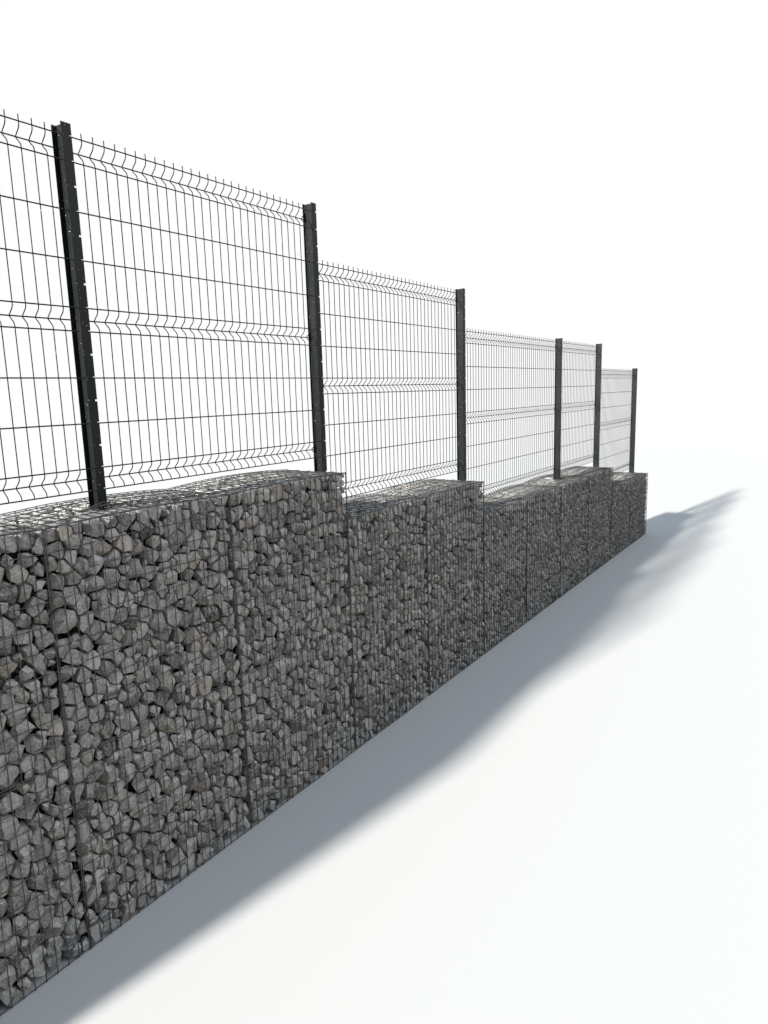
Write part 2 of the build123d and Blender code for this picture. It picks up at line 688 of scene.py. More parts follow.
class Layer(Enum):
    """How the stones are put in: large ones first, then smaller ones, then those behind."""

    LARGE = (0.036, 0.047, 0.92, 300)
    MIDDLE = (0.0295, 0.039, 0.92, 1250)
    SMALL = (0.022, 0.0295, 0.95, 1500)
    CHIPS = (0.015, 0.021, 1.10, 430)
    BEHIND = (0.032, 0.042, 2.40, 350)

    def __init__(self, least: float, most: float, depth: float, tries: int) -> None:
        """Keeps what a layer says of its stones.

        Args:
            least: Smallest radius.
            most: Largest radius.
            depth: How deep their middles lie, in radii.
            tries: How many places are tried for each square metre.
        """
        self.least = least
        self.most = most
        self.depth = depth
        self.tries = tries


@dataclass
class StoneFill:
    """The crushed stone in one basket: separate angular stones round a rough inner mass."""

    basket: Basket
    finish: Limestone
    seed: int
    packing: float = 0.84
    most_stones: int = 400
    edge_share: float = 0.7
    post_share: float = 0.6
    post_gap: float = 0.012
    neighbours: float = 2.4
    growth: float = 1.10
    facets: int = 8
    facet_shake: float = 0.22
    facet_reach: Range = (0.72, 1.08)
    stretch: Range = (0.70, 1.30)
    least_reach: float = 0.15
    neighbour_far: float = 1.5
    post_far: float = 1.6
    side_far: float = 2.0
    joint: Range = (0.001, 0.007)
    post_joint: float = 0.004
    seam_gap: float = 0.006
    inner_gap: float = 0.002
    mesh_depth: float = 0.012
    depth_shake: float = 0.15
    tilt: float = 0.34
    lid_tilt: float = 0.20
    pull: Range = (0.80, 0.98)
    below_side: float = 0.06
    rim_cut: Range = (0.004, 0.018)
    rounding: float = 1.55
    rounding_shake: float = 0.05
    inset: float = 0.001
    merge: float = 0.0022
    tone_spread: float = 0.19
    # Deeper stones are darkened: painted shade between the stones in front.
    painted_shade_from: float = 0.050
    painted_shade_slope: float = 12.0
    most_painted_shade: float = 0.5
    hue_bias: float = 1.1
    flake_tries: int = 500
    flake_gap: float = 0.05
    flake_radii: Range = (0.018, 0.028)
    flake_squeeze: float = 0.8
    flake_margins: tuple[float, float, float] = (0.015, 0.02, 0.04)
    core_depth: float = 0.080
    core_step: float = 0.09
    core_cuts: int = 14
    core_inset: float = 0.004
    core_shake: float = 0.014
    # Tone of the inner mass, near black: painted shade in the gaps between stones.
    core_painted_shade_tone: float = -0.45
    draw: np.random.Generator = field(init=False)

    def __post_init__(self) -> None:
        """Starts the random numbers."""
        self.draw = np.random.default_rng(self.seed)

    def build(self) -> bpy.types.Object:
        """Makes the piece.

        Returns:
            One object with all the stones of the basket.
        """
        centres, radii = self.places()
        tree = KDTree(len(centres))
        for number, centre in enumerate(centres):
            tree.insert(centre, number)
        tree.balance()
        heap = Heap()
        for number in range(len(centres)):
            found = tree.find_range(centres[number], self.neighbours * radii.max())
            near = [k for _, k, _ in found if k != number]
            self.add_stone(heap, centres[number], radii[number], centres[near], radii[near])
        self.add_core(heap)
        if self.basket.has_lid:
            for corners in heap.corners:
                corners[:, 2] += self.basket.crown.lift(self.basket, corners)
        mesh = heap.mesh(f"{self.basket.name}_crushed_stone")
        mesh.materials.append(self.finish.material())
        return place_piece(mesh, Slot.STONE, [self.basket.nodes["stones"]])

    def places(self) -> tuple[np.ndarray, np.ndarray]:
        """Middles and radii of the stones behind the sides that show.

        Returns:
            The middles and the radii.
        """
        low, high = np.array(self.basket.low), np.array(self.basket.high)
        sides = self.basket.sides
        areas = np.array([side.area for side in sides])
        room = int(areas.sum() * self.most_stones) + self.flake_tries
        centres, radii = np.zeros((room, 3)), np.zeros(room)
        count = 0
        for layer in Layer:
            tries = int(areas.sum() * layer.tries)
            chosen = self.draw.choice(len(sides), tries, p=areas / areas.sum())
            sizes = self.draw.uniform(layer.least, layer.most, tries)
            spots = self.draw.uniform(0, 1, (tries, 3))
            shake = self.draw.uniform(1 - self.depth_shake, 1 + self.depth_shake, tries)
            depths = self.mesh_depth + sizes * layer.depth * shake
            for pick, radius, spot, depth in zip(chosen, sizes, spots, depths):
                side = sides[pick]
                centre = np.array(side.low) + spot * np.array(side.high - side.low) - side.normal * depth
                to_edge = min((centre - low).min(), (high - centre).min(), abs(centre[0] - self.partition))
                if to_edge < self.edge_share * radius:
                    continue
                apart = np.linalg.norm(centres[:count] - centre, axis=1)
                if np.any(apart < self.packing * (radii[:count] + radius)) or self.in_post(centre, radius):
                    continue
                centres[count], radii[count] = centre, radius
                count += 1
        for centre, radius in self.flakes():
            apart = np.linalg.norm(centres[:count] - centre, axis=1)
            if np.all(apart > self.packing * (radii[:count] + radius) * self.flake_squeeze):
                centres[count], radii[count] = centre, radius
                count += 1
        return centres[:count], radii[:count]

    def flakes(self) -> Iterator[tuple[np.ndarray, float]]:
        """Places for thin stones between an end of the basket and a post close behind it.

        Yields:
            A middle and a radius.
        """
        beside, below, above = self.flake_margins
        ends = [side for side in self.basket.sides if side.axis == 0]
        for side in ends:
            for low, high in self.basket.posts:
                near = high.x if side.sign > 0 else low.x
                if abs(side.low.x - near) > self.flake_gap:
                    continue
                middle = (near + side.low.x - side.sign * self.mesh_depth) / 2
                for across, up in self.draw.uniform(0, 1, (self.flake_tries, 2)):
                    y = low.y - beside + across * (high.y - low.y + 2 * beside)
                    z = side.low.z + below + up * (side.high.z - side.low.z - (below + above))
                    yield np.array([middle, y, z]), self.draw.uniform(*self.flake_radii)

    @property
    def partition(self) -> float:
        """X of the partition in the middle of the basket."""
        return self.basket.low.x + self.basket.panel_length

    @staticmethod
    def ways(centre: np.ndarray, boxes: Iterable[Box]) -> Iterator[np.ndarray]:
        """The way from a point to the nearest point of each box."""
        for low, high in boxes:
            yield np.clip(centre, np.array(low), np.array(high)) - centre

    def in_post(self, centre: np.ndarray, radius: float) -> bool:
        """Whether a stone lies in a post or too close to one, or in the hollow at its foot.

        Args:
            centre: Its middle.
            radius: Its radius.

        Returns:
            True where it does.
        """
        checks = ((self.basket.posts, self.post_share * radius + self.post_gap),
                  (self.basket.hollows, self.edge_share * radius))
        return any(np.linalg.norm(way) < reach
                   for boxes, reach in checks for way in self.ways(centre, boxes))

    def add_stone(self, heap: Heap, centre: np.ndarray, radius: float,
                  others: np.ndarray, other_radii: np.ndarray) -> None:
        """Cuts one stone between its neighbours, its own facets and the basket.

        Args:
            heap: Where the stone is added.
            centre: Its middle.
            radius: Its radius.
            others: The middles of the stones near it.
            other_radii: Their radii.
        """
        own = self.spread()
        axes = np.linalg.qr(self.draw.normal(size=(3, 3)))[0]
        stretch = self.draw.uniform(*self.stretch, 3)
        reach = np.linalg.norm(own @ axes * stretch, axis=1) * radius * self.growth
        planes = list(zip(own, reach * self.draw.uniform(*self.facet_reach, len(own))))
        ways = others - centre
        apart = np.linalg.norm(ways, axis=1)
        shares = apart * radius / (radius + other_radii) - self.draw.uniform(*self.joint, len(apart))
        near = shares < radius * self.neighbour_far
        planes += [(way / gap, share) for way, gap, share in zip(ways[near], apart[near], shares[near])]
        planes += self.basket_planes(centre, radius)
        for way in self.ways(centre, self.basket.posts):
            gap = np.linalg.norm(way)
            if gap < radius * self.post_far:
                planes.append((way / gap, gap - self.post_joint))
        normals = np.array([normal for normal, _ in planes])
        reaches = np.maximum(np.array([distance for _, distance in planes]), radius * self.least_reach)
        corners = Hull.within(normals, reaches)
        middle = corners.mean(0)
        spans = np.linalg.norm(corners - middle, axis=1)
        shake = self.draw.uniform(1 - self.rounding_shake, 1 + self.rounding_shake, len(spans))
        limit = spans.mean() * self.rounding * shake
        corners = middle + (corners - middle) * np.minimum(1, limit / spans)[:, None]
        low = np.array(self.basket.low) - centre + self.inset
        high = np.array(self.basket.high) - centre - self.inset
        corners, faces = Hull.closed(np.clip(corners, low, high), self.merge)
        # Stones lying deeper behind the side that shows are darkened: painted shade, as if the stones in
        # front shaded them.
        depth = min(side.depth(centre) for side in self.basket.sides)
        shade = np.clip((depth - self.painted_shade_from) * self.painted_shade_slope, 0, self.most_painted_shade)
        tone = np.clip(self.draw.normal(0.5, self.tone_spread), 0, 1) - shade
        heap.add(corners + centre, faces, tone, self.draw.uniform(0, 1) ** self.hue_bias)

    def spread(self) -> np.ndarray:
        """Directions spread over a ball, each shaken a little.

        Returns:
            One unit vector for each facet.
        """
        number = np.arange(self.facets) + 0.5
        up = 1 - 2 * number / self.facets
        turn = number * math.pi * (3 - math.sqrt(5)) + self.draw.uniform(0, math.tau)
        flat = np.sqrt(1 - up * up)
        points = np.stack([flat * np.cos(turn), flat * np.sin(turn), up], 1)
        turned = points @ np.linalg.qr(self.draw.normal(size=(3, 3)))[0]
        points = turned + self.draw.normal(0, self.facet_shake, (self.facets, 3))
        return points / np.linalg.norm(points, axis=1)[:, None]

    def basket_planes(self, centre: np.ndarray, radius: float) -> Iterator[tuple[np.ndarray, float]]:
        """Planes that keep a stone inside its basket.

        Args:
            centre: The stone's middle.
            radius: The stone's radius.

        Yields:
            Each plane's direction and its distance from the stone's middle.
        """
        close = []
        for side in self.basket.sides:
            gap = side.depth(centre)
            if gap > radius * self.side_far or centre[2] < side.low.z - self.below_side:
                continue
            for lean in self.draw.normal(0, self.lid_tilt if side.axis == 2 else self.tilt, (2, 3)):
                normal = side.normal + lean
                pulled = (gap - self.mesh_depth) * self.draw.uniform(*self.pull)
                yield normal / np.linalg.norm(normal), pulled
            yield side.normal, gap - self.mesh_depth
            close.append((side, gap))
        for number, (side, gap) in enumerate(close):
            for other, other_gap in close[:number]:
                cut = self.draw.uniform(*self.rim_cut)
                yield (side.normal + other.normal) / math.sqrt(2), (gap + other_gap - cut) / math.sqrt(2)
        for axis, inner in enumerate((self.seam_gap, self.inner_gap, self.inner_gap)):
            for sign, edge in ((-1, self.basket.low), (1, self.basket.high)):
                gap = (edge[axis] - centre[axis]) * sign
                if gap < radius * self.side_far:
                    yield np.eye(3)[axis] * sign, gap - inner
        from_seam = centre[0] - self.partition
        if abs(from_seam) < radius * self.side_far:
            yield np.array([-math.copysign(1, from_seam), 0, 0]), abs(from_seam) - self.seam_gap

    def add_core(self, heap: Heap) -> None:
        """Adds the rough mass behind the stones that show, near black as painted shade in the gaps between
        them.

        Args:
            heap: Where it is added.
        """
        low, high = (np.array(corner) for corner in (self.basket.low, self.basket.high))
        low, high = low + self.core_inset, high - self.core_inset
        for side in self.basket.sides:
            if side.sign < 0:
                low[side.axis] = side.low[side.axis] + self.core_depth
            else:
                high[side.axis] = side.high[side.axis] - self.core_depth
        core = bmesh.new()
        bmesh.ops.create_cube(core, size=1)
        cuts = min(int((high - low).max() / self.core_step), self.core_cuts)
        bmesh.ops.subdivide_edges(core, edges=list(core.edges), cuts=cuts, use_grid_fill=True)
        bmesh.ops.triangulate(core, faces=list(core.faces))
        core.verts.index_update()
        corners = np.array([corner.co for corner in core.verts]) + 0.5
        faces = np.array([[corner.index for corner in face.verts] for face in core.faces])
        core.free()
        corners = low + corners * (high - low)
        shake = self.draw.uniform(-self.core_shake, 0, corners.shape)
        corners += shake * np.sign(corners - (low + high) / 2)
        # The core's tone makes it near black: painted shade in the voids between the stones.
        heap.add(corners, faces, self.core_painted_shade_tone, 0.0)


@dataclass(frozen=True)
class Panel:
    """A flat mesh panel: its corner, its two edges and the way it faces."""

    corner: Vector
    along: Vector
    up: Vector
    width: float
    height: float
    lift: Range = (0.0, 0.0)

    @property
    def flat(self) -> bool:
        """Whether the panel lies, as a lid does."""
        return self.up.z < 0.5

    @property
    def place(self) -> Matrix:
        """Where the panel's own frame lies: x along it, y up it and z out of it."""
        turned = Matrix((self.along, self.up, self.along.cross(self.up))).transposed().to_4x4()
        return Matrix.Translation(self.corner) @ turned


class Wires:
    """Wires made by one geometry tree: paths repeated, bowed, shaken, cut and given their thickness."""

    INPUTS = {
        "Count": ("NodeSocketInt", 1),
        "Spacing": ("NodeSocketVector", (0.0, 0.0, 0.0)),
        "Diameter": ("NodeSocketFloat", 0.005),
        "Sides": ("NodeSocketInt", 6),
        "Recess": ("NodeSocketFloat", 0.0),
        "Lift Way": ("NodeSocketVector", (0.0, 0.0, 0.0)),
        "Lift Low": ("NodeSocketFloat", 0.0),
        "Lift High": ("NodeSocketFloat", 0.0),
        "Panel Width": ("NodeSocketFloat", 1.0),
        "Panel Height": ("NodeSocketFloat", 1.0),
        "Shake": ("NodeSocketFloat", 0.0),
        "Shake Length": ("NodeSocketFloat", 0.2),
        "Seed": ("NodeSocketVector", (0.0, 0.0, 0.0)),
        "Gap Middle": ("NodeSocketVector", (0.0, 0.0, 0.0)),
        "Gap Size": ("NodeSocketVector", (0.0, 0.0, 0.0)),
        "Material": ("NodeSocketMaterial", None),
    }
    SEED_REACH = 90

    def __init__(self) -> None:
        """Builds the tree and notes the identifier of each input."""
        self.tree = bpy.data.node_groups.new("repeated_wires", "GeometryNodeTree")
        self.tree.is_modifier = True
        sockets = self.tree.interface
        sockets.new_socket("Geometry", in_out="INPUT", socket_type="NodeSocketGeometry")
        self.keys = {name: sockets.new_socket(name, in_out="INPUT", socket_type=kind).identifier
                     for name, (kind, _) in self.INPUTS.items()}
        sockets.new_socket("Geometry", in_out="OUTPUT", socket_type="NodeSocketGeometry")
        self.grow()

    def grow(self) -> None:
        """Adds the tree's nodes."""
        nodes = Nodes(self.tree)
        given = nodes.node("NodeGroupInput")
        take = {name: Term(nodes, given.outputs[name]) for name in ("Geometry", *self.INPUTS)}
        rail = nodes.out("GeometryNodeMeshLine", {"Count": take["Count"], "Offset": take["Spacing"]})
        copies = nodes.out("GeometryNodeInstanceOnPoints", {"Points": rail, "Instance": take["Geometry"]})
        paths = nodes.out("GeometryNodeRealizeInstances", {0: copies})
        place = nodes.out("GeometryNodeInputPosition")
        x, y, _ = place.parts()
        arch = (x * math.pi / take["Panel Width"]).sine()
        height = y / take["Panel Height"]
        swell = arch * (height * math.pi).sine()
        inwards = nodes.out("ShaderNodeCombineXYZ", {"Z": (swell - 1) * take["Recess"]})
        raised = take["Lift Low"] + height * (take["Lift High"] - take["Lift Low"])
        lift = take["Lift Way"] * (arch * raised)
        spot = place / take["Shake Length"] + take["Seed"]
        shaken = (nodes.noise(spot, 1.0, detail=1, output=1) - (0.5, 0.5, 0.5)) * take["Shake"]
        offset = inwards + lift + shaken
        bowed = nodes.out("GeometryNodeSetPosition", {"Geometry": paths, "Offset": offset})
        far_x, far_y, _ = (place - take["Gap Middle"]).parts()
        wide, tall, _ = take["Gap Size"].parts()
        inside = (abs(far_x) < wide / 2) * (abs(far_y) < tall / 2)
        chosen = {"Geometry": bowed, "Selection": inside}
        cut = nodes.out("GeometryNodeDeleteGeometry", chosen, {"domain": "POINT"})
        lines = nodes.out("GeometryNodeMeshToCurve", {"Mesh": cut})
        round_wire = {"Resolution": take["Sides"], "Radius": take["Diameter"] / 2}
        ring = nodes.out("GeometryNodeCurvePrimitiveCircle", round_wire)
        drawn = {"Curve": lines, "Profile Curve": ring, "Fill Caps": True}
        tubes = nodes.out("GeometryNodeCurveToMesh", drawn)
        smooth = nodes.out("GeometryNodeSetShadeSmooth", {"Geometry": tubes})
        real = nodes.out("GeometryNodeRealizeInstances", {0: smooth})
        dressed = nodes.out("GeometryNodeSetMaterial", {"Geometry": real, "Material": take["Material"]})
        nodes.node("NodeGroupOutput", {"Geometry": dressed})

    @staticmethod
    def seed(draw: np.random.Generator) -> Point:
        """A random place in the noise that shakes the wires."""
        return tuple(draw.uniform(0, Wires.SEED_REACH, 3))

    def mesh(self, paths: list[list[Point]], **sizes: object) -> bpy.types.Mesh:
        """Runs the tree on some paths.

        Args:
            paths: The points of each wire.
            sizes: A value for each input, with _ for a space in its name.

        Returns:
            The wires as a plain mesh.
        """
        values = {name: value for name, (_, value) in self.INPUTS.items()}
        values |= {name.replace("_", " ").title(): value for name, value in sizes.items()}
        points = [point for path in paths for point in path]
        starts = np.cumsum([0] + [len(path) for path in paths])
        edges = [(n, n + 1) for path, start in zip(paths, starts)
                 for n in range(start, start + len(path) - 1)]
        drawn = bpy.data.meshes.new("wire_paths")
        drawn.from_pydata(points, edges, [])
        holder = added("wire_paths", drawn)
        modifier = holder.modifiers.new("wires", "NODES")
        modifier.node_group = self.tree
        for name, value in values.items():
            modifier[self.keys[name]] = value
        graph = bpy.context.evaluated_depsgraph_get()
        mesh = bpy.data.meshes.new_from_object(holder.evaluated_get(graph))
        bpy.data.objects.remove(holder)
        bpy.data.meshes.remove(drawn)
        return mesh


def straight(start: Point, end: Point, step: float) -> list[Point]:
    """Points along a straight wire from start to end, about a step apart."""
    count = max(1, round(math.dist(start, end) / step))
    return [tuple(Vector(start).lerp(Vector(end), n / count)) for n in range(count + 1)]


def joined(name: str, meshes: list[bpy.types.Mesh], finish: Finish) -> bpy.types.Mesh:
    """Joins meshes into one, in one finish.

    Args:
        name: Name of the new mesh.
        meshes: The meshes, which are used up.
        finish: The finish.

    Returns:
        The joined mesh.
    """
    whole = bmesh.new()
    for mesh in meshes:
        whole.from_mesh(mesh)
        bpy.data.meshes.remove(mesh)
    for side in whole.faces:
        side.material_index = 0
        side.smooth = True
    result = bpy.data.meshes.new(name)
    whole.to_mesh(result)
    whole.free()
    result.materials.append(finish.material())
    return result


def place_piece(mesh: bpy.types.Mesh, slot: Slot, replaced: list[str]) -> bpy.types.Object:
    """Puts a finished mesh in the scene as a piece of the wall.

    Args:
        mesh: The mesh, in its place.
        slot: The slot that its finish belongs to; not used.
        replaced: The CAD nodes that it stands for.

    Returns:
        The piece.
    """
    piece = added(mesh.name, mesh)
    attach(piece, "root")
    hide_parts(*replaced)
    log.info("%s: %d faces", piece.name, len(mesh.polygons))
    return piece


def dress_post(name: str, finish: Finish) -> None:
    """Gives a post, which shows as its CAD node, its finish.

    Args:
        name: The post's node.
        finish: The finish.
    """
    post = frame["nodes"][name]
    for slot in post.material_slots:
        slot.material = finish.material()
    log.info("%s: %d faces", name, len(post.data.polygons))


@dataclass
class BasketWires:
    """The welded mesh of one basket: sides, ends, lid and the edge wires of its partitions."""

    basket: Basket
    wires: Wires
    finish: GalvanisedWire
    seed: int
    diameter: float = 0.0046
    upright_pitch: float = 0.050
    level_pitch: float = 0.100
    edge_gap: float = 0.005
    end_gap: float = 0.004
    bend_step: float = 0.10
    recess: float = 0.007
    shake: float = 0.007
    hole_margin: float = 0.028
    hole_front: float = 0.008
    end_root: float = 0.04
    end_room: float = 0.05
    end_spread: Range = (0.012, 0.030)
    end_depth: float = 0.012
    end_rise: Range = (0.004, 0.045)
    end_lean: float = 0.015
    end_bend: Point = (-0.045, 0.0, 0.004)
    end_length: Range = (0.050, 0.060)
    end_curl: float = 0.003
    passing: tuple[Point, ...] = ((0.008, -0.003, 0.027), (0.013, 0.008, 0.018), (0.026, -0.010, 0.012))
    passing_half: float = 0.13
    passing_points: int = 9
    edge_inset: float = 1.5
    draw: np.random.Generator = field(init=False)

    def __post_init__(self) -> None:
        """Starts the random numbers."""
        self.draw = np.random.default_rng(self.seed)

    def build(self) -> list[bpy.types.Object]:
        """Makes the cage and, on a basket, the lid.

        Returns:
            The pieces.
        """
        top = self.basket.high.z - (self.diameter if self.basket.has_lid else 0)
        cage = [mesh for panel in self.side_panels(top) for mesh in self.panel_wires(panel)]
        cage.append(self.partition_edges(top))
        name = self.basket.name
        made = {"cage": joined(f"{name}_wire_cage", cage, self.finish)}
        if self.basket.has_lid:
            lid = [mesh for panel in self.lid_panels() for mesh in self.panel_wires(panel)]
            lid += self.cut_ends()
            made["lid"] = joined(f"{name}_wire_lid", lid, self.finish)
        return [place_piece(mesh, Slot.BASKET_WIRE, [self.basket.nodes[kind]])
                for kind, mesh in made.items()]

    def side_panels(self, top: float) -> Iterator[Panel]:
        """The upright panels of the basket that show.

        Args:
            top: Level of their upper edge.

        Yields:
            Each panel.
        """
        low, high = self.basket.low, self.basket.high
        tall = top - low.z
        right, back, up = Vector((1, 0, 0)), Vector((0, 1, 0)), Vector((0, 0, 1))
        wide, crown = self.basket.panel_length, self.basket.crown
        rise = (crown.front, crown.back) if self.basket.has_lid else (0.0, 0.0)
        for x in (low.x, low.x + wide):
            yield Panel(Vector((x, low.y, low.z)), right, up, wide, tall, (0.0, rise[0]))
            yield Panel(Vector((x + wide, high.y, low.z)), -right, up, wide, tall, (0.0, rise[1]))
        for side in self.basket.sides:
            if side.axis == 0 and side.sign < 0:
                yield Panel(Vector((low.x, high.y, low.z)), -back, up, high.y - low.y, tall)
            elif side.axis == 0:
                yield Panel(Vector((high.x, low.y, low.z)), back, up, high.y - low.y, tall)

    def lid_panels(self) -> Iterator[Panel]:
        """The panels of the lid, one over each cell of the basket.

        Yields:
            Each panel.
        """
        low, high, wide = self.basket.low, self.basket.high, self.basket.panel_length
        crown = self.basket.crown
        right, back = Vector((1, 0, 0)), Vector((0, 1, 0))
        for x in (low.x, low.x + wide):
            corner = Vector((x, low.y, high.z))
            yield Panel(corner, right, back, wide, high.y - low.y, (crown.front, crown.back))

    def panel_wires(self, panel: Panel) -> Iterator[bpy.types.Mesh]:
        """The two sets of wires of one panel, welded where they cross.

        Args:
            panel: The panel.

        Yields:
            The upright wires, then the level ones.
        """
        radius = self.diameter / 2
        edge, end = self.edge_gap, self.end_gap
        uprights = round((panel.width - 2 * edge) / self.upright_pitch)
        upright_pitch = (panel.width - 2 * edge) / uprights
        levels = round(panel.height / self.level_pitch)
        level_pitch = (panel.height - self.diameter - 2 * end) / levels
        common = {
            "Diameter": self.diameter, "Recess": 0.0 if panel.flat else self.recess,
            "Lift_Way": (0.0, 0.0, 1.0) if panel.flat else (0.0, 1.0, 0.0),
            "Lift_Low": panel.lift[0], "Lift_High": panel.lift[1],
            "Panel_Width": panel.width, "Panel_Height": panel.height,
            "Shake": self.shake, "Seed": self.wires.seed(self.draw),
            "Material": self.finish.material(), **self.hole_in(panel),
        }
        front, rear = -radius - self.shake / 2, -radius - self.diameter - self.shake / 2
        if panel.flat:
            front, rear = rear, front
        low = radius + end
        fronts = straight((edge, end, front), (edge, panel.height - end, front), self.bend_step)
        rears = straight((end, low, rear), (panel.width - end, low, rear), self.bend_step)
        sets = ((fronts, uprights, (upright_pitch, 0.0, 0.0)), (rears, levels, (0.0, level_pitch, 0.0)))
        for path, count, spacing in sets:
            mesh = self.wires.mesh([path], Count=count + 1, Spacing=spacing, **common)
            mesh.transform(panel.place)
            yield mesh

    def partition_edges(self, top: float) -> bpy.types.Mesh:
        """The upright edge wires of the partitions, which stand in the seams between the panels.

        Args:
            top: Level of the panels' upper edge.

        Returns:
            A mesh of all these wires.
        """
        low, high = self.basket.low, self.basket.high
        inset = self.diameter * self.edge_inset + self.shake / 2 + self.recess
        seams = [low.x + self.basket.panel_length] + ([] if self.basket.first else [low.x])
        paths = [straight((x, y, low.z + self.end_gap), (x, y, top - self.end_gap), self.bend_step)
                 for x in seams for y in (low.y + inset, high.y - inset)]
        return self.wires.mesh(paths, Diameter=self.diameter, Shake=self.shake,
                               Seed=self.wires.seed(self.draw), Material=self.finish.material())

    def hole_in(self, panel: Panel) -> dict[str, Point]:
        """The gap that is cut in a lid panel round a post.

        Args:
            panel: The panel.

        Returns:
            The middle and the size of the gap, in the panel's own frame, or nothing.
        """
        margin, front = self.hole_margin, self.hole_front
        for low, high in self.basket.posts:
            middle = (low + high) / 2 - panel.corner
            size = high - low
            if panel.flat and -margin < middle.x < panel.width + margin:
                return {"Gap_Middle": (middle.x, middle.y + margin / 2 - front / 2, 0.0),
                        "Gap_Size": (size.x + 2 * margin, size.y + margin + front, 0.0)}
        return {}

    def cut_ends(self) -> list[bpy.types.Mesh]:
        """The cut ends of the lid's wires round each post, and the wires that pass before it.

        Returns:
            Their meshes.
        """
        meshes = []
        for low, high in self.basket.posts:
            paths = []
            middle = (low + high) / 2
            reach = (high - low) / 2 + Vector((self.hole_margin, self.hole_margin, 0))
            for way in (Vector((1, 0, 0)), Vector((0, 1, 0)), Vector((-1, 0, 0)), Vector((0, -1, 0))):
                across = Vector((-way.y, way.x, 0))
                edge = abs(way.dot(reach))
                if not self.basket.low.x < middle.x + way.x * (edge + self.end_room) < self.basket.high.x:
                    continue
                for side in (-1, 1):
                    aside = across * side * self.draw.uniform(*self.end_spread)
                    foot = middle + way * (edge + self.end_root) + aside
                    foot.z = self.basket.high.z - self.end_depth
                    paths.append(self.cut_end(foot, way, across))
            meshes.append(self.wires.mesh(paths, Diameter=self.diameter, Material=self.finish.material()))
        half, top = self.passing_half, self.basket.high.z
        for low, high in self.basket.hollows:
            middle = (low.x + high.x) / 2
            paths = [[(middle + x, high.y - gap - bow * (1 - (x / half) ** 2),
                       top + rise * (1 - abs(x) / half))
                      for x in np.linspace(-half, half, self.passing_points)]
                     for gap, bow, rise in self.passing]
            meshes.append(self.wires.mesh(paths, Diameter=self.diameter, Material=self.finish.material()))
        return meshes

    def cut_end(self, foot: Vector, way: Vector, across: Vector) -> list[Point]:
        """One cut wire, bent up towards a post.

        Args:
            foot: Where the wire leaves the stones.
            way: The way from the post to the wire.
            across: The way along the lid at a right angle to it.

        Returns:
            Points along the wire.
        """
        rise = self.draw.uniform(*self.end_rise)
        lean = across * self.draw.uniform(-self.end_lean, self.end_lean)
        bend = foot + way * self.end_bend[0] + Vector((0, 0, self.end_bend[2]))
        tip = foot - way * self.draw.uniform(*self.end_length) + lean + Vector((0, 0, rise))
        return [tuple(point) for point in (foot, bend, (bend + tip) / 2 - way * self.end_curl, tip)]


@dataclass
class FencePanel:
    """One rigid mesh panel of the fence, with three folds."""

    number: int
    wires: Wires
    finish: PowderCoat
    level_diameter: float = 0.0060
    level_sides: int = 8
    upright_diameter: float = 0.0050
    height: float = 1.500
    level_pitch: float = 0.100
    straight_levels: tuple[int, ...] = (0, 1, 3, 5, 7, 8, 10, 12, 14, 15)
    fold_levels: tuple[float, ...] = (0.5, 7.5, 14.5)
    fold_depth: float = 0.035
    fold_height: float = 0.066
    bend: float = 0.007
    upright_pitch: float = 0.055
    first_upright: float = 0.073
    last_gap: float = 0.045
    tip: float = 0.028
    slack: float = 1e-6

    def build(self) -> bpy.types.Object:
        """Makes the panel.

        Returns:
            The piece.
        """
        node = f"fence_panel_{self.number}"
        low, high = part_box(node)
        top = high.z - self.tip
        plane = low.y + self.level_diameter / 2
        left, right = (self.post_axis(n) for n in (self.number, self.number + 1))
        room = right - left - self.first_upright - self.last_gap
        count = int(room / self.upright_pitch + self.slack) + 1
        behind = (self.level_diameter + self.upright_diameter) / 2
        upright = [(left + self.first_upright, plane + behind + y, z) for y, z in self.upright_line(top)]
        uprights = self.wires.mesh([upright], Count=count, Spacing=(self.upright_pitch, 0.0, 0.0),
                                   Diameter=self.upright_diameter, Material=self.finish.material())
        places = [(0.0, level) for level in self.straight_levels]
        places += [(self.fold_depth, level) for level in self.fold_levels]
        rails = [[(x, plane + y, top - level * self.level_pitch) for x in (low.x, high.x)]
                 for y, level in places]
        levels = self.wires.mesh(rails, Diameter=self.level_diameter, Sides=self.level_sides,
                                 Material=self.finish.material())
        mesh = joined(f"fence_mesh_{self.number}", [uprights, levels], self.finish)
        return place_piece(mesh, Slot.PANEL, [node])

    @staticmethod
    def post_axis(number: int) -> float:
        """X of the middle of a post."""
        low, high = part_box(f"post_{number}")
        return (low.x + high.x) / 2

    def upright_line(self, top: float) -> list[tuple[float, float]]:
        """An upright wire seen from the fence's end, with its bends rounded.

        Args:
            top: Level of the top wire.

        Returns:
            Distance back and level of each point, from the top down.
        """
        corners = [Vector((0, top + self.tip))]
        for level in self.fold_levels:
            apex = top - level * self.level_pitch
            corners += [Vector((0, apex + self.fold_height / 2)), Vector((self.fold_depth, apex)),
                        Vector((0, apex - self.fold_height / 2))]
        corners.append(Vector((0, top - self.height - self.upright_diameter / 2)))
        line = [corners[0]]
        for before, corner, after in zip(corners, corners[1:], corners[2:]):
            line += [corner + (end - corner).normalized() * self.bend for end in (before, after)]
        line.append(corners[-1])
        return [tuple(point) for point in line]


